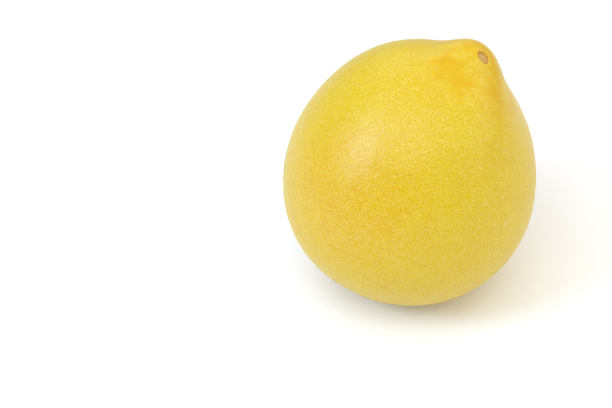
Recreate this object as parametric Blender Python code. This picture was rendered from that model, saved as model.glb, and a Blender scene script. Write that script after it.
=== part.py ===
"""A ripe yellow pomelo, as picked, standing near its blossom end with its neck leaning over.

The fruit grew as one piece, so it is one solid. Each point of its skin is a direction from the
fruit's middle and a distance along it. The distance is that of a round body with a pear's taper,
plus the low reliefs on it: the neck, the shoulder beside it, the folds and the ridge on them, the
stem scar, the blossom end, and the slow swells of the skin. The fruit's own weight presses a small
flat spot under it.
"""

import math

import bmesh
import bpy
from mathutils import Vector, noise

# Driving dimensions, in metres. The origin is the middle of the flat spot that the fruit rests on.
BODY_RADIUS = 0.0700
MIDDLE_HEIGHT = 0.0684

# As shares of the body's radius: how far the body is drawn out along its axis, and how much
# fuller its blossom half is than its stem half.
STRETCH = 0.0450
TAPER = 0.0436

# The neck is a blunt hump. Its width is the angle, seen from the middle, at which it has all but
# ended, and a higher bluntness gives a flatter top and steeper sides.
NECK_HEIGHT = 0.0100
NECK_WIDTH = math.radians(12.6)
NECK_BLUNTNESS = 2.3

# The shoulder is a lower, softer hump on the neck's lower side.
SHOULDER_HEIGHT = 0.0042
SHOULDER_WIDTH = math.radians(16)

STEM_SCAR_LENGTH = 0.0072
STEM_SCAR_WIDTH = 0.0052
STEM_SCAR_DEPTH = 0.0010
STEM_SCAR_TURN = math.radians(42)
# Its wall falls between these shares of its half length and half width.
STEM_SCAR_FLOOR_EDGE = 0.6
STEM_SCAR_RIM = 1.1

# The neck's folds are evenly spaced round it, one of them towards this bearing.
FOLD_COUNT = 4
FOLD_BEARING = math.radians(98)
FOLD_HEIGHT = 0.00035
FOLD_BEGIN = 0.008
FOLD_END = 0.044

# The ridge runs along that fold. It falls off more steeply on its front than on its back.
RIDGE_HEIGHT = 0.0009
RIDGE_FRONT_WIDTH = 0.0055
RIDGE_BACK_WIDTH = 0.0100
RIDGE_BEGIN = 0.006
RIDGE_END = 0.040

BLOSSOM_DIMPLE_RADIUS = 0.0100
BLOSSOM_DIMPLE_DEPTH = 0.0010
BLOSSOM_SCAR_RADIUS = 0.0024
BLOSSOM_SCAR_DEPTH = 0.0006

SWELL_HEIGHT = 0.00045
SWELL_LENGTH = 0.036

# Half the height of the soft curve in which the skin leaves the flat spot.
PRESS_BLEND = 0.0006

# The mesh is a ball of meridians and rings with its poles at the two scars. The rings lie closer
# together there, by this share of their even spacing.
MERIDIANS = 64
RINGS = 56
POLE_CROWDING = 0.62

SKIN_COLOUR = (0.72, 0.51, 0.02, 1.0)
SKIN_ROUGHNESS = 0.42


def leaning(tilt_degrees, bearing_degrees):
    """A unit vector that leans from straight up by a tilt, towards a bearing from +X to +Y."""
    tilt = math.radians(tilt_degrees)
    bearing = math.radians(bearing_degrees)
    level = math.sin(tilt)
    return Vector((level * math.cos(bearing), level * math.sin(bearing), math.cos(tilt)))


BODY_AXIS = leaning(10.8, 23.8)
NECK_AXIS = leaning(26.6, 15.4)
SHOULDER_AXIS = leaning(37.5, -25)
STEM_AXIS = leaning(26.3, 1.0)
STEM_TURN = STEM_AXIS.to_track_quat("Z", "Y")


def smooth_step(low, high, value):
    """0 below low, 1 above high, and an even curve between them."""
    share = min(max((value - low) / (high - low), 0.0), 1.0)
    return share * share * (3 - 2 * share)


def hollow(distance, radius):
    """1 in the middle of a round hollow, falling smoothly to 0 at its radius."""
    return 1 - smooth_step(0, radius, distance)


def between(begin, end, value):
    """A soft hump that rises from 0 at begin and is back at 0 at end."""
    middle = (begin + end) / 2
    return smooth_step(begin, middle, value) * (1 - smooth_step(middle, end, value))


def place_about_stem(direction):
    """Where a direction meets the neck: its distance from the stem scar, and its bearing there."""
    local = STEM_TURN.inverted() @ direction
    distance = (BODY_RADIUS + NECK_HEIGHT) * local.angle(Vector((0, 0, 1)))
    return distance, math.atan2(local.y, local.x)


def body(direction):
    """The round body, drawn out along its axis and tapered like a pear."""
    along = direction.dot(BODY_AXIS)
    drawn_out = (3 * along**2 - 1) / 2
    pear = (5 * along**3 - 3 * along) / 2
    return BODY_RADIUS * (1 + STRETCH * drawn_out + TAPER * pear)


def neck(direction):
    """The blunt hump that the stem grew from."""
    share = direction.angle(NECK_AXIS) / NECK_WIDTH
    return NECK_HEIGHT * math.exp(-(share**NECK_BLUNTNESS))


def shoulder(direction):
    """The low hump beside the neck."""
    share = direction.angle(SHOULDER_AXIS) / SHOULDER_WIDTH
    return SHOULDER_HEIGHT * math.exp(-(share**2))


def neck_folds(direction):
    """Soft folds that run down the neck and fade out below it."""
    distance, bearing = place_about_stem(direction)
    height = FOLD_HEIGHT * between(FOLD_BEGIN, FOLD_END, distance)
    return height * math.cos(FOLD_COUNT * (bearing - FOLD_BEARING))


def ridge(direction):
    """The one sharper ridge, from the neck down to the body."""
    distance, bearing = place_about_stem(direction)
    along = distance * math.cos(bearing - FOLD_BEARING)
    across = distance * math.sin(bearing - FOLD_BEARING)
    width = RIDGE_FRONT_WIDTH if across > 0 else RIDGE_BACK_WIDTH
    return RIDGE_HEIGHT * between(RIDGE_BEGIN, RIDGE_END, along) * hollow(abs(across), width)


def stem_scar(direction):
    """The oval pit where the stem came away."""
    distance, bearing = place_about_stem(direction)
    along = distance * math.cos(bearing - STEM_SCAR_TURN) / (STEM_SCAR_LENGTH / 2)
    across = distance * math.sin(bearing - STEM_SCAR_TURN) / (STEM_SCAR_WIDTH / 2)
    share = math.hypot(along, across)
    return -STEM_SCAR_DEPTH * (1 - smooth_step(STEM_SCAR_FLOOR_EDGE, STEM_SCAR_RIM, share))


def blossom_end(direction):
    """The shallow dimple opposite the stem, with the flower's small scar in it."""
    distance = BODY_RADIUS * direction.angle(-STEM_AXIS)
    dimple = BLOSSOM_DIMPLE_DEPTH * hollow(distance, BLOSSOM_DIMPLE_RADIUS)
    return -dimple - BLOSSOM_SCAR_DEPTH * hollow(distance, BLOSSOM_SCAR_RADIUS)


def swells(direction):
    """The slow rise and fall of the skin over the uneven segments inside."""
    return SWELL_HEIGHT * noise.noise(direction * BODY_RADIUS / SWELL_LENGTH)


def pressed(height):
    """A height above the resting surface, with what would lie below it pressed flat."""
    if height >= PRESS_BLEND:
        return height
    if height <= -PRESS_BLEND:
        return 0.0
    return (height + PRESS_BLEND) ** 2 / (4 * PRESS_BLEND)


def skin_point(direction):
    """The point of the fruit's skin in this direction from its middle."""
    reliefs = (neck, shoulder, neck_folds, ridge, stem_scar, blossom_end, swells)
    distance = body(direction) + sum(relief(direction) for relief in reliefs)
    point = distance * direction
    point.z = pressed(point.z + MIDDLE_HEIGHT)
    return point


def crowded_to_poles(direction):
    """A direction moved along its meridian, so that rings crowd together at both poles."""
    polar_angle = direction.angle(Vector((0, 0, 1)))
    polar_angle -= POLE_CROWDING / 2 * math.sin(2 * polar_angle)
    bearing = math.atan2(direction.y, direction.x)
    level = math.sin(polar_angle)
    return Vector((level * math.cos(bearing), level * math.sin(bearing), math.cos(polar_angle)))


def fruit_mesh():
    """A ball with its poles at the scars, each point moved out to the fruit's skin."""
    ball = bmesh.new()
    bmesh.ops.create_uvsphere(ball, u_segments=MERIDIANS, v_segments=RINGS, radius=1)
    for vertex in ball.verts:
        vertex.co = skin_point(STEM_TURN @ crowded_to_poles(vertex.co))
    mesh = bpy.data.meshes.new("pomelo")
    ball.to_mesh(mesh)
    ball.free()
    mesh.shade_smooth()
    return mesh


def rind_material():
    """The waxy yellow rind."""
    material = bpy.data.materials.new("rind")
    material.use_nodes = True
    shader = material.node_tree.nodes["Principled BSDF"]
    shader.inputs["Base Color"].default_value = SKIN_COLOUR
    shader.inputs["Roughness"].default_value = SKIN_ROUGHNESS
    shader.inputs["Metallic"].default_value = 0.0
    return material


def main():
    for old in list(bpy.data.objects):
        bpy.data.objects.remove(old, do_unlink=True)
    mesh = fruit_mesh()
    mesh.materials.append(rind_material())
    pomelo = bpy.data.objects.new("pomelo", mesh)
    bpy.context.scene.collection.objects.link(pomelo)


main()
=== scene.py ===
"""The looks of the pomelo: its fine skin, its rind material, the floor, the light and the camera."""

import math

import bmesh
import bpy
import numpy as np
from mathutils import Matrix, Vector, kdtree, noise


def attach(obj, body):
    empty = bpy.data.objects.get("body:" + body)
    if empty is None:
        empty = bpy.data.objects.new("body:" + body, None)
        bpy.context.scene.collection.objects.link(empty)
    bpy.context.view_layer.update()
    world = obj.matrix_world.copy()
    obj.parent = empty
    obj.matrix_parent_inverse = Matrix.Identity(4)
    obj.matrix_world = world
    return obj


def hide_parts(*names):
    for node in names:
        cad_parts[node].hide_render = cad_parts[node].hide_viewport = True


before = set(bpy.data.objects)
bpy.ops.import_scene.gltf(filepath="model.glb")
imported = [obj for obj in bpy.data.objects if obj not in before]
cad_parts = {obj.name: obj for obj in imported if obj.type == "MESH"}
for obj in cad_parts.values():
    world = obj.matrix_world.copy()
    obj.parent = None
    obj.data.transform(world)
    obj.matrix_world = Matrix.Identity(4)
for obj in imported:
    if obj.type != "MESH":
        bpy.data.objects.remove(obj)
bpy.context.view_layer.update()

# The shape, in metres, as the CAD part has it.
BODY_RADIUS = 0.0700
MIDDLE_HEIGHT = 0.0684
STRETCH = 0.0450
TAPER = 0.0436
NECK_HEIGHT = 0.0100
NECK_WIDTH = math.radians(12.6)
NECK_BLUNTNESS = 2.3
SHOULDER_HEIGHT = 0.0042
SHOULDER_WIDTH = math.radians(16)
FOLD_COUNT = 4
FOLD_BEARING = math.radians(98)
FOLD_HEIGHT = 0.00035
FOLD_BEGIN = 0.008
FOLD_END = 0.044
RIDGE_HEIGHT = 0.0009
RIDGE_FRONT_WIDTH = 0.0055
RIDGE_BACK_WIDTH = 0.0100
RIDGE_BEGIN = 0.006
RIDGE_END = 0.040
STEM_SCAR_LENGTH = 0.0072
STEM_SCAR_WIDTH = 0.0052
STEM_SCAR_DEPTH = 0.0010
STEM_SCAR_TURN = math.radians(42)
STEM_SCAR_FLOOR_EDGE = 0.6
STEM_SCAR_RIM = 1.1
BLOSSOM_DIMPLE_RADIUS = 0.0100
BLOSSOM_DIMPLE_DEPTH = 0.0010
BLOSSOM_SCAR_RADIUS = 0.0024
BLOSSOM_SCAR_DEPTH = 0.0006
SWELL_HEIGHT = 0.00045
SWELL_LENGTH = 0.036
PRESS_BLEND = 0.0006

# Relief that only this finer skin has. A swell is a height, its waves' length, and where in the
# noise it is read.
FINE_SWELLS = ((0.00014, 0.012, 7.3), (0.00006, 0.0045, 3.1))
CORK_HEIGHT = 0.00018
CORK_LENGTH = 0.0013

# The stem scar's lip lies between these shares of the scar's half length and half width.
LIP_HEIGHT = 0.00035
LIP_INNER_EDGE = 0.85
LIP_OUTER_EDGE = 1.75
LIP_UNEVENNESS = 0.6

# Where in the noise each of these patterns is read, so that no two are alike.
CORK_SHIFT = 1.7
PATCH_SHIFT = 10.15
SMALL_PATCH_SHIFT = 4.4
STREAK_SHIFT = 20.5
BODY_PATCH_SHIFT = 5.9
GLAND_SHIFT = 8.8

# The neck ripens in patches, in smaller patches, and in streaks, and part of its deeper gold is painted
# shade. This fades out between these two distances from the stem scar.
NECK_FADE_BEGIN = 0.016
NECK_FADE_END = 0.040
PATCH_LENGTH = 0.0070
PATCH_STRENGTH = 1.3
SMALL_PATCH_FINENESS = 2.4
SMALL_PATCH_STRENGTH = 0.55
STREAK_LENGTH = 0.012
STREAKS_ROUND = 2.5
STREAK_STRENGTH = 0.6

# The narrow line of painted shade along the ridge's foot, which lies this far in front of the ridge's
# top.
RIDGE_LINE_BEGIN = 0.008
RIDGE_LINE_END = 0.036
RIDGE_LINE_OFFSET = 0.0015
RIDGE_LINE_WIDTH = 0.0022

# How golden the rind is all over, and what its places add to that. 0 is lemon and 1 is gold.
GOLD_EVERYWHERE = 0.07
# Painted shade: the rind is deeper gold on its lower left side, facing the camera.
GOLD_OF_PAINTED_SHADE = 0.60
GOLD_OF_BODY_PATCHES = 0.12
# The neck's gold is partly its own ripening and partly painted shade.
GOLD_OF_NECK = 0.37
GOLD_OF_NECK_PATTERN = 0.28
# Painted shade: deeper gold along the ridge's foot.
GOLD_OF_RIDGE_SHADE = 0.4
# How far that painted shade on the lower left side spreads.
PAINTED_SHADE_SPREAD = math.radians(40)
BODY_PATCH_LENGTH = 0.024

# How much less pale bloom the rind has on the neck, partly its own and partly painted shade, and on the
# ridge's line, where it is painted shade.
LESS_BLOOM_AND_SHADE_ON_NECK = 0.58
LESS_BLOOM_AND_SHADE_OF_NECK_PATTERN = 1.3
LESS_BLOOM_OF_RIDGE_SHADE = 0.6

# The oil glands in the rind are small dimples, spread evenly but in no pattern, and they differ
# in depth. They are shallower on the neck.
GLAND_COUNT = 14500
GLAND_DEPTH = 0.00008
GLAND_SCATTER = 0.35
SPREADING_ROUNDS = 4
GLAND_MEAN_SHARE = 0.8
GLAND_UNEVENNESS = 0.6
GLAND_UNEVENNESS_LENGTH = 0.0021
GLAND_LOSS_ON_NECK = 0.7

# Round each scar the mesh is finer and has no glands, this far out and with points this close.
SCAR_PATCH_RADIUS = 0.0085
SCAR_PATCH_SPACING = 0.0007

LEMON = (0.708, 0.510, 0.003, 1)
GOLD = (0.725, 0.370, 0.0010, 1)
BLOOM = (0.79, 0.61, 0.16, 1)
GLAND_TINT = (0.91, 0.87, 0.0, 1)
CORK_PALE = (0.58, 0.36, 0.105, 1)
# The darker cork is partly the scar's own brown rim and partly painted shadow under its lip.
CORK_RIM_AND_SHADOW = (0.46, 0.19, 0.025, 1)
RIND_ROUGHNESS = 0.345
RIND_IOR = 1.41
CORK_ROUGHNESS = 0.8

# The rind's mottling: the length of its blotches and of its bloom's coarser and finer grain, and
# how little and how much each of them gives.
BLOTCH_LENGTH = 0.007
BLOTCH_RANGE = (-0.10, 0.10)
BROAD_BLOOM_LENGTH = 0.0028
BROAD_BLOOM_RANGE = (-0.09, 0.28)
FINE_BLOOM_LENGTH = 0.0009
FINE_BLOOM_RANGE = (-0.09, 0.29)

# What is too fine for the mesh: the rind's wrinkles, and the ragged edges of glands and cork.
WRINKLE_LENGTH = 0.0012
WRINKLE_HEIGHT = 0.00018
GLAND_CENTRE_DEPTH = 0.00001
GLAND_EDGE_LENGTH = 0.0005
GLAND_EDGE_RANGE = (-0.2, 0.2)
CORK_EDGE_LENGTH = 0.0009
CORK_EDGE_RANGE = (-0.12, 0.12)

FLOOR_RADIUS = 12
FLOOR_WHITE = 0.95
FLOOR_ROUGHNESS = 0.7
FLOOR_GLOW = 0.04
STUDIO_FRONT_STRENGTH = 0.1
STUDIO_BACK_STRENGTH = 0.5
WHITE_LIGHT = (1, 1, 1)
COOL_LIGHT = (0.73, 0.97, 1.48)
SLIGHTLY_COOL_LIGHT = (0.93, 0.98, 1.09)

# The camera stands this far from the fruit's middle, this high above the horizon, and aims left
# of the fruit and below it.
CAMERA_DISTANCE = 0.925
CAMERA_ELEVATION = math.radians(38)
CAMERA_AIM_LEFT = math.radians(3.512)
CAMERA_AIM_BELOW = math.radians(1.006)
LENS_MM = 100
SENSOR_WIDTH_MM = 36


def leaning(tilt_degrees, bearing_degrees):
    """A unit vector that leans from straight up by a tilt, towards a bearing from +X to +Y."""
    tilt = math.radians(tilt_degrees)
    bearing = math.radians(bearing_degrees)
    level = math.sin(tilt)
    return Vector((level * math.cos(bearing), level * math.sin(bearing), math.cos(tilt)))


BODY_AXIS = leaning(10.8, 23.8)
NECK_AXIS = leaning(26.6, 15.4)
SHOULDER_AXIS = leaning(37.5, -25)
STEM_AXIS = leaning(26.3, 1.0)
STEM_TURN = STEM_AXIS.to_track_quat("Z", "Y").to_matrix()
# Painted shade: the rind turns deeper gold round this direction, on its lower left side.
PAINTED_SHADE_SIDE = leaning(70, -126)
MIDDLE = Vector((0, 0, MIDDLE_HEIGHT))


def smooth_step(low, high, value):
    share = np.clip((value - low) / (high - low), 0, 1)
    return share * share * (3 - 2 * share)


def hollow(distance, radius):
    """1 in the middle of a round hollow, falling smoothly to 0 at its radius."""
    return 1 - smooth_step(0, radius, distance)


def between(begin, end, value):
    """A soft hump that rises from 0 at begin and is back at 0 at end."""
    middle = (begin + end) / 2
    return smooth_step(begin, middle, value) * (1 - smooth_step(middle, end, value))


def angle_to(directions, axis):
    return np.arccos(np.clip(directions @ np.array(axis), -1, 1))


def noise_at(places, shift=0.0):
    """Smooth noise from -1 to 1 at these places, with waves about one unit long."""
    return np.array([noise.noise(Vector(place) + Vector((shift,) * 3)) for place in places])


def place_about_stem(directions):
    """Each direction's distance from the stem scar along the neck, and its bearing there."""
    local = directions @ np.array(STEM_TURN)
    distance = (BODY_RADIUS + NECK_HEIGHT) * np.arccos(np.clip(local[:, 2], -1, 1))
    return distance, np.arctan2(local[:, 1], local[:, 0])


def body(directions):
    along = directions @ np.array(BODY_AXIS)
    drawn_out = (3 * along**2 - 1) / 2
    pear = (5 * along**3 - 3 * along) / 2
    return BODY_RADIUS * (1 + STRETCH * drawn_out + TAPER * pear)


def neck(directions):
    share = angle_to(directions, NECK_AXIS) / NECK_WIDTH
    return NECK_HEIGHT * np.exp(-(share**NECK_BLUNTNESS))


def shoulder(directions):
    share = angle_to(directions, SHOULDER_AXIS) / SHOULDER_WIDTH
    return SHOULDER_HEIGHT * np.exp(-(share**2))


def neck_folds(directions):
    distance, bearing = place_about_stem(directions)
    height = FOLD_HEIGHT * between(FOLD_BEGIN, FOLD_END, distance)
    return height * np.cos(FOLD_COUNT * (bearing - FOLD_BEARING))


def ridge(directions):
    distance, bearing = place_about_stem(directions)
    along = distance * np.cos(bearing - FOLD_BEARING)
    across = distance * np.sin(bearing - FOLD_BEARING)
    width = np.where(across > 0, RIDGE_FRONT_WIDTH, RIDGE_BACK_WIDTH)
    return RIDGE_HEIGHT * between(RIDGE_BEGIN, RIDGE_END, along) * hollow(np.abs(across), width)


def stem_scar_share(directions):
    """0 in the middle of the stem scar and 1 on its rim."""
    distance, bearing = place_about_stem(directions)
    along = distance * np.cos(bearing - STEM_SCAR_TURN) / (STEM_SCAR_LENGTH / 2)
    across = distance * np.sin(bearing - STEM_SCAR_TURN) / (STEM_SCAR_WIDTH / 2)
    return np.hypot(along, across)


def stem_scar(directions):
    """The corky pit, and the uneven lip of rind around it."""
    share = stem_scar_share(directions)
    inside = 1 - smooth_step(STEM_SCAR_FLOOR_EDGE, STEM_SCAR_RIM, share)
    lumps = noise_at(directions * BODY_RADIUS / CORK_LENGTH, CORK_SHIFT)
    lip = between(LIP_INNER_EDGE, LIP_OUTER_EDGE, share) * (1 + LIP_UNEVENNESS * lumps)
    return -STEM_SCAR_DEPTH * inside + CORK_HEIGHT * lumps * inside + LIP_HEIGHT * lip


def blossom_end(directions):
    distance = BODY_RADIUS * angle_to(directions, -STEM_AXIS)
    dimple = BLOSSOM_DIMPLE_DEPTH * hollow(distance, BLOSSOM_DIMPLE_RADIUS)
    return -dimple - BLOSSOM_SCAR_DEPTH * hollow(distance, BLOSSOM_SCAR_RADIUS)


def swells(directions):
    """The slow rise and fall of the skin, and the finer unevenness on it."""
    places = directions * BODY_RADIUS
    slow = SWELL_HEIGHT * noise_at(places / SWELL_LENGTH)
    fine = sum(height * noise_at(places / length, shift) for height, length, shift in FINE_SWELLS)
    return slow + fine


def pressed(height):
    soft = (height + PRESS_BLEND) ** 2 / (4 * PRESS_BLEND)
    return np.where(height >= PRESS_BLEND, height, np.where(height <= -PRESS_BLEND, 0, soft))


def skin_points(directions):
    reliefs = (neck, shoulder, neck_folds, ridge, stem_scar, blossom_end, swells)
    distance = body(directions) + sum(relief(directions) for relief in reliefs)
    points = distance[:, None] * directions
    points[:, 2] = pressed(points[:, 2] + MIDDLE_HEIGHT)
    return points


def scar_share(directions):
    """Each point's distance from the nearer scar's middle, as a share of that scar's radius."""
    blossom = BODY_RADIUS * angle_to(directions, -STEM_AXIS) / BLOSSOM_SCAR_RADIUS
    return np.minimum(stem_scar_share(directions), blossom)


def neck_share(directions):
    """1 on the neck, falling to 0 on the shoulder below it."""
    distance, _ = place_about_stem(directions)
    return 1 - smooth_step(NECK_FADE_BEGIN, NECK_FADE_END, distance)


def neck_pattern(directions):
    """The neck's uneven ripening, higher where it is more golden, in patches and in streaks."""
    distance, bearing = place_about_stem(directions)
    places = directions * BODY_RADIUS / PATCH_LENGTH
    small_patches = noise_at(SMALL_PATCH_FINENESS * places, SMALL_PATCH_SHIFT)
    patches = noise_at(places, PATCH_SHIFT) + SMALL_PATCH_STRENGTH * small_patches
    around = np.stack([np.cos(bearing), np.sin(bearing)], axis=1) * STREAKS_ROUND
    streaks = noise_at(np.column_stack([around, distance / STREAK_LENGTH]), STREAK_SHIFT)
    return PATCH_STRENGTH * patches + STREAK_STRENGTH * streaks


def painted_ridge_shade(directions):
    """The narrow line of painted shade, in deeper gold, along the foot of the ridge."""
    distance, bearing = place_about_stem(directions)
    along = distance * np.cos(bearing - FOLD_BEARING)
    across = distance * np.sin(bearing - FOLD_BEARING)
    off_line = np.abs(across - RIDGE_LINE_OFFSET)
    return between(RIDGE_LINE_BEGIN, RIDGE_LINE_END, along) * hollow(off_line, RIDGE_LINE_WIDTH)


def gold_share(directions):
    """How far the rind's colour has gone from lemon to gold; part of the gold is painted shade."""
    # Painted shade: deeper gold on the lower left side, along the ridge's foot, and partly on the neck.
    side = np.exp(-((angle_to(directions, PAINTED_SHADE_SIDE) / PAINTED_SHADE_SPREAD) ** 2))
    patches = noise_at(directions * BODY_RADIUS / BODY_PATCH_LENGTH, BODY_PATCH_SHIFT)
    on_body = GOLD_EVERYWHERE + GOLD_OF_PAINTED_SHADE * side + GOLD_OF_BODY_PATCHES * patches
    on_neck = GOLD_OF_NECK + GOLD_OF_NECK_PATTERN * neck_pattern(directions)
    on_ridge = GOLD_OF_RIDGE_SHADE * painted_ridge_shade(directions)
    return np.clip(on_body + neck_share(directions) * on_neck + on_ridge, 0, 1)


def bloom_share(directions):
    """How much pale bloom the rind wears: least where the neck is most golden; its gaps are partly
    painted shade.
    """
    # Painted shade: less bloom along the ridge's foot, and partly on the neck.
    on_neck = LESS_BLOOM_AND_SHADE_ON_NECK + LESS_BLOOM_AND_SHADE_OF_NECK_PATTERN * neck_pattern(directions)
    on_ridge = LESS_BLOOM_OF_RIDGE_SHADE * painted_ridge_shade(directions)
    return np.clip(1 - neck_share(directions) * on_neck - on_ridge, 0, 1)


def sunflower(count, spread):
    """Evenly spaced directions, in a spiral out from +Z to this angle."""
    step = np.arange(count) + 0.5
    height = 1 - (1 - math.cos(spread)) * step / count
    bearing = math.pi * (1 + math.sqrt(5)) * step
    level = np.sqrt(1 - height**2)
    return np.stack([level * np.cos(bearing), level * np.sin(bearing), height], axis=1)


def apart(directions, spacing):
    """Directions pushed away from their neighbours where they are closer than this."""
    tree = kdtree.KDTree(len(directions))
    for number, direction in enumerate(directions):
        tree.insert(direction, number)
    tree.balance()
    near = np.array([[found[1] for found in tree.find_n(direction, 7)[1:]] for direction in directions])
    gaps = directions[:, None] - directions[near]
    lengths = np.linalg.norm(gaps, axis=2)
    push = np.clip(spacing - lengths, 0, None) / lengths
    moved = directions + 0.5 * (gaps * push[:, :, None]).sum(1)
    return moved / np.linalg.norm(moved, axis=1)[:, None]


def gland_directions():
    """Where the glands are, as seen from the fruit's middle with the stem at +Z."""
    chance = np.random.default_rng(1)
    spacing = math.sqrt(4 * math.pi / GLAND_COUNT / math.cos(math.pi / 6))
    directions = sunflower(GLAND_COUNT, math.pi)
    directions += chance.normal(size=directions.shape) * spacing * GLAND_SCATTER
    directions /= np.linalg.norm(directions, axis=1)[:, None]
    for _ in range(SPREADING_ROUNDS):
        directions = apart(directions, spacing)
    clear_of_scars = np.abs(directions[:, 2]) < math.cos(SCAR_PATCH_RADIUS / BODY_RADIUS)
    return directions[clear_of_scars]


def scar_patch():
    spread = SCAR_PATCH_RADIUS / BODY_RADIUS
    count = round(math.pi * SCAR_PATCH_RADIUS**2 / (math.cos(math.pi / 6) * SCAR_PATCH_SPACING**2))
    return sunflower(count, spread)


def gland_share(directions, gland_count):
    """How deep the gland at each point is, as a share of GLAND_DEPTH, and 0 where there is none."""
    is_gland = np.arange(len(directions)) < gland_count
    places = directions * BODY_RADIUS / GLAND_UNEVENNESS_LENGTH
    uneven = GLAND_MEAN_SHARE + GLAND_UNEVENNESS * noise_at(places, GLAND_SHIFT)
    return is_gland * uneven * (1 - GLAND_LOSS_ON_NECK * neck_share(directions))


def read(items, name, width, kind=np.float32):
    values = np.empty(len(items) * width, kind)
    items.foreach_get(name, values)
    return values.reshape(-1, width) if width > 1 else values


def net_of(directions):
    """A ball with a corner in each of these directions, and with one more halfway along each edge."""
    net = bmesh.new()
    for direction in directions:
        net.verts.new(direction)
    bmesh.ops.convex_hull(net, input=net.verts)
    bmesh.ops.subdivide_edges(net, edges=net.edges, cuts=1, use_grid_fill=True)
    bmesh.ops.recalc_face_normals(net, faces=net.faces)
    mesh = bpy.data.meshes.new("pomelo_skin")
    net.to_mesh(mesh)
    net.free()
    return mesh


def add_map(mesh):
    """Lays the ball out as six tiles, three across and two up, one for each side of a cube round it."""
    corners = read(mesh.vertices, "co", 3)[read(mesh.loops, "vertex_index", 1, np.int32)]
    faces = read(mesh.polygons, "center", 3)
    faces = np.repeat(faces, read(mesh.polygons, "loop_total", 1, np.int32), axis=0)
    axis = np.abs(faces).argmax(1)
    rows = np.arange(len(corners))
    towards = faces[rows, axis] > 0
    depth = np.abs(corners[rows, axis])
    across = np.arctan(np.where(axis == 0, corners[:, 1], corners[:, 0]) / depth)
    up = np.arctan(np.where(axis == 2, corners[:, 1], corners[:, 2]) / depth)
    # A tile is mirrored where its side looks the other way, so that none is inside out.
    across = across * np.where((axis == 1) == towards, -1, 1)
    quarter = math.pi / 4
    inset = 0.93
    u = (axis + (across / quarter * inset + 1) / 2) / 3
    v = (towards + (up / quarter * inset + 1) / 2) / 2
    layer = mesh.uv_layers.new(name="OFBake")
    layer.uv.foreach_set("vector", np.stack([u, v], axis=1).astype(np.float32).ravel())


def add_share(mesh, name, shares):
    """Gives each point of the mesh a number that the rind's material reads."""
    layer = mesh.attributes.new(name, "FLOAT", "POINT")
    layer.data.foreach_set("value", shares.astype(np.float32))


def skin():
    glands = gland_directions()
    mesh = net_of(np.concatenate([glands, scar_patch(), scar_patch() * (1, 1, -1)]))
    add_map(mesh)
    ball = read(mesh.vertices, "co", 3).astype(float)
    ball /= np.linalg.norm(ball, axis=1)[:, None]
    directions = ball @ np.array(STEM_TURN).T
    depths = gland_share(directions, len(glands))
    points = skin_points(directions) - GLAND_DEPTH * depths[:, None] * directions
    points[:, 2] = np.maximum(points[:, 2], 0)
    mesh.vertices.foreach_set("co", points.astype(np.float32).ravel())
    add_share(mesh, "scar_share", scar_share(directions))
    add_share(mesh, "bloom_share", bloom_share(directions))
    add_share(mesh, "gold_share", gold_share(directions))
    add_share(mesh, "gland_share", depths)
    mesh.update()
    mesh.shade_smooth()
    fruit = bpy.data.objects.new("pomelo_skin", mesh)
    bpy.context.scene.collection.objects.link(fruit)
    return fruit


def node(tree, kind, settings=None, **inputs):
    """A new node. Each input is a value, or a socket that it is linked from."""
    made = tree.nodes.new(kind)
    for name, value in (settings or {}).items():
        setattr(made, name, value)
    for name, value in inputs.items():
        connect(tree, value, made.inputs[name.replace("_", " ")])
    return made


def connect(tree, value, socket):
    if isinstance(value, bpy.types.NodeSocket):
        tree.links.new(value, socket)
    else:
        socket.default_value = value


def share_of(tree, name):
    """The number that each point of the mesh holds under this name."""
    return node(tree, "ShaderNodeAttribute", {"attribute_name": name}).outputs["Fac"]


def stepped(tree, value, low, high, first=0.0, last=1.0):
    """A number that goes smoothly from first, where value is low, to last, where it is high."""
    settings = {"interpolation_type": "SMOOTHSTEP"}
    ends = {"From_Min": low, "From_Max": high, "To_Min": first, "To_Max": last}
    return node(tree, "ShaderNodeMapRange", settings, Value=value, **ends).outputs["Result"]


def calculated(tree, operation, *terms):
    made = node(tree, "ShaderNodeMath", {"operation": operation})
    for term, socket in zip(terms, made.inputs):
        connect(tree, term, socket)
    return made.outputs[0]


def mixed(tree, share, first, second, kind="RGBA", blend="MIX"):
    """A colour, or a number if kind is FLOAT, that goes from first to second with share."""
    made = node(tree, "ShaderNodeMix", {"data_type": kind, "blend_type": blend}, Factor=share)
    connect(tree, first, made.inputs["A" if kind == "FLOAT" else 6])
    connect(tree, second, made.inputs["B" if kind == "FLOAT" else 7])
    return made.outputs["Result" if kind == "FLOAT" else 2]


def grain(tree, place, length, detail=2.0, fineness=0.5):
    """Noise from 0 to 1 with waves about this long, and finer ones on them."""
    inputs = {"Scale": 1 / length, "Detail": detail, "Roughness": fineness}
    return node(tree, "ShaderNodeTexNoise", Vector=place, **inputs).outputs["Fac"]


def gland_dots(tree, place):
    """1 in the middle of each oil gland and 0 between them, with ragged edges."""
    ragged = stepped(tree, grain(tree, place, GLAND_EDGE_LENGTH), 0.25, 0.75, *GLAND_EDGE_RANGE)
    depth = calculated(tree, "ADD", share_of(tree, "gland_share"), ragged)
    return stepped(tree, depth, -0.05, 0.75)


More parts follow.
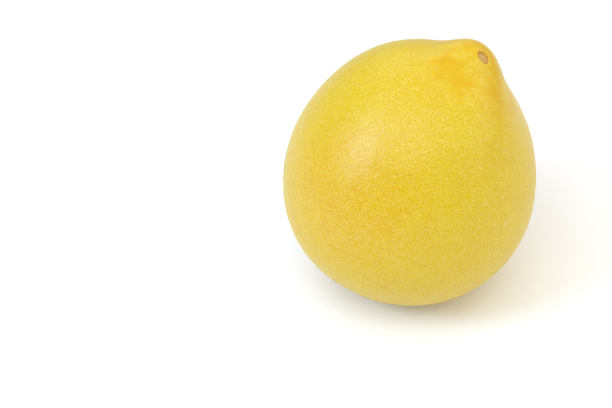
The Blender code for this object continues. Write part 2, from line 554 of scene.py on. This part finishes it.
def rind_colour(tree, place, dots):
    """Lemon to gold under a mottled pale bloom, and deeper in each gland; part of the gold is painted
    shade.
    """
    blotches = stepped(tree, grain(tree, place, BLOTCH_LENGTH, 3.0), 0.3, 0.7, *BLOTCH_RANGE)
    gold = calculated(tree, "ADD", share_of(tree, "gold_share"), blotches)
    ripe = mixed(tree, gold, LEMON, GOLD)
    broad_grain = grain(tree, place, BROAD_BLOOM_LENGTH, 3.5, 0.7)
    broad_bloom = stepped(tree, broad_grain, 0.30, 0.72, *BROAD_BLOOM_RANGE)
    fine_grain = grain(tree, place, FINE_BLOOM_LENGTH, 1.0)
    fine_bloom = stepped(tree, fine_grain, 0.25, 0.75, *FINE_BLOOM_RANGE)
    bloom = calculated(tree, "ADD", broad_bloom, fine_bloom)
    bloom = calculated(tree, "MULTIPLY", bloom, share_of(tree, "bloom_share"))
    ripe = mixed(tree, bloom, ripe, BLOOM)
    return mixed(tree, dots, ripe, GLAND_TINT, blend="MULTIPLY")


def rind_material():
    """The waxy rind, with pale cork in the stem scar and a darker rim round it, partly painted shadow.
    """
    material = bpy.data.materials.new("rind")
    material.use_nodes = True
    tree = material.node_tree
    shader = tree.nodes["Principled BSDF"]
    place = node(tree, "ShaderNodeTexCoord").outputs["Object"]
    dots = gland_dots(tree, place)
    ragged = stepped(tree, grain(tree, place, CORK_EDGE_LENGTH, 4.0), 0.2, 0.8, *CORK_EDGE_RANGE)
    ragged = calculated(tree, "ADD", share_of(tree, "scar_share"), ragged)
    cork = stepped(tree, ragged, 0.90, 1.10, 1.0, 0.0)
    # Darker towards the scar's rim: partly its own brown rim, partly painted shadow under the lip.
    pale = stepped(tree, ragged, 0.60, 0.90, 1.0, 0.0)
    cork_colour = mixed(tree, pale, CORK_RIM_AND_SHADOW, CORK_PALE)
    colour = mixed(tree, cork, rind_colour(tree, place, dots), cork_colour)
    connect(tree, colour, shader.inputs["Base Color"])
    roughness = mixed(tree, cork, RIND_ROUGHNESS, CORK_ROUGHNESS, "FLOAT")
    connect(tree, roughness, shader.inputs["Roughness"])
    centres = calculated(tree, "MULTIPLY", dots, -GLAND_CENTRE_DEPTH)
    wrinkles = grain(tree, place, WRINKLE_LENGTH)
    relief = calculated(tree, "MULTIPLY_ADD", wrinkles, WRINKLE_HEIGHT, centres)
    bump = node(tree, "ShaderNodeBump", Strength=1.0, Distance=1.0, Height=relief)
    connect(tree, bump.outputs["Normal"], shader.inputs["Normal"])
    shader.inputs["IOR"].default_value = RIND_IOR
    return material


def floor():
    mesh = bpy.data.meshes.new("floor")
    disc = bmesh.new()
    bmesh.ops.create_circle(disc, cap_ends=True, segments=64, radius=FLOOR_RADIUS)
    disc.to_mesh(mesh)
    disc.free()
    material = bpy.data.materials.new("floor")
    material.use_nodes = True
    shader = material.node_tree.nodes["Principled BSDF"]
    shader.inputs["Base Color"].default_value = (FLOOR_WHITE, FLOOR_WHITE, FLOOR_WHITE, 1)
    shader.inputs["Roughness"].default_value = FLOOR_ROUGHNESS
    shader.inputs["Emission Color"].default_value = (1, 1, 1, 1)
    shader.inputs["Emission Strength"].default_value = FLOOR_GLOW
    mesh.materials.append(material)
    made = bpy.data.objects.new("floor", mesh)
    bpy.context.scene.collection.objects.link(made)


def softbox(name, towards, distance, size, power, colour=WHITE_LIGHT):
    """A square lamp that faces the fruit's middle from this direction and distance."""
    lamp = bpy.data.lights.new(name, "AREA")
    lamp.shape = "SQUARE"
    lamp.size = size
    lamp.energy = power
    lamp.color = colour
    made = bpy.data.objects.new(name, lamp)
    direction = Vector(towards).normalized()
    made.location = MIDDLE + distance * direction
    made.rotation_euler = direction.to_track_quat("Z", "Y").to_euler()
    bpy.context.scene.collection.objects.link(made)


def surroundings():
    """A pale studio that is darker on the camera's side."""
    world = bpy.data.worlds.new("studio")
    world.use_nodes = True
    tree = world.node_tree
    towards = node(tree, "ShaderNodeTexCoord").outputs["Generated"]
    depth = node(tree, "ShaderNodeSeparateXYZ", Vector=towards).outputs["Y"]
    strength = stepped(tree, depth, -0.5, 0.5, STUDIO_FRONT_STRENGTH, STUDIO_BACK_STRENGTH)
    background = tree.nodes["Background"]
    connect(tree, strength, background.inputs["Strength"])
    background.inputs["Color"].default_value = (1, 1, 1, 1)
    bpy.context.scene.world = world


def light():
    """A cool key light on the left, and wide soft lamps above and around the fruit."""
    softbox("key_softbox", (-0.74, -0.38, 0.55), 1.4, 0.55, 7.8, COOL_LIGHT)
    softbox("upper_key_softbox", (-0.50, -0.25, 0.83), 1.4, 0.9, 4.25, SLIGHTLY_COOL_LIGHT)
    softbox("top_softbox", (0.0, 0.1, 1.0), 1.5, 1.8, 4.1)
    softbox("front_softbox", (0.0, -0.6, 0.8), 1.4, 0.9, 7.1)
    softbox("right_softbox", (0.80, -0.32, 0.45), 1.4, 0.9, 5.6)
    softbox("right_back_softbox", (0.60, 0.45, 0.66), 1.4, 0.9, 2.5)
    softbox("back_softbox", (-0.15, 0.75, 0.65), 1.4, 0.9, 1.7)


def camera():
    made = bpy.data.objects.new("camera", bpy.data.cameras.new("camera"))
    made.data.lens = LENS_MM
    made.data.sensor_width = SENSOR_WIDTH_MM
    back = Vector((0, -math.cos(CAMERA_ELEVATION), math.sin(CAMERA_ELEVATION)))
    made.location = MIDDLE + CAMERA_DISTANCE * back
    towards_fruit = (-back).to_track_quat("-Z", "Y").to_matrix()
    turn_left = Matrix.Rotation(CAMERA_AIM_LEFT, 3, "Y")
    turn_down = Matrix.Rotation(-CAMERA_AIM_BELOW, 3, "X")
    made.rotation_euler = (towards_fruit @ turn_left @ turn_down).to_euler()
    bpy.context.scene.collection.objects.link(made)
    bpy.context.scene.camera = made


fruit = skin()
fruit.data.materials.append(rind_material())
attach(fruit, "root")
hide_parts("pomelo")
floor()
surroundings()
light()
camera()
bpy.context.scene.view_settings.view_transform = "Standard"
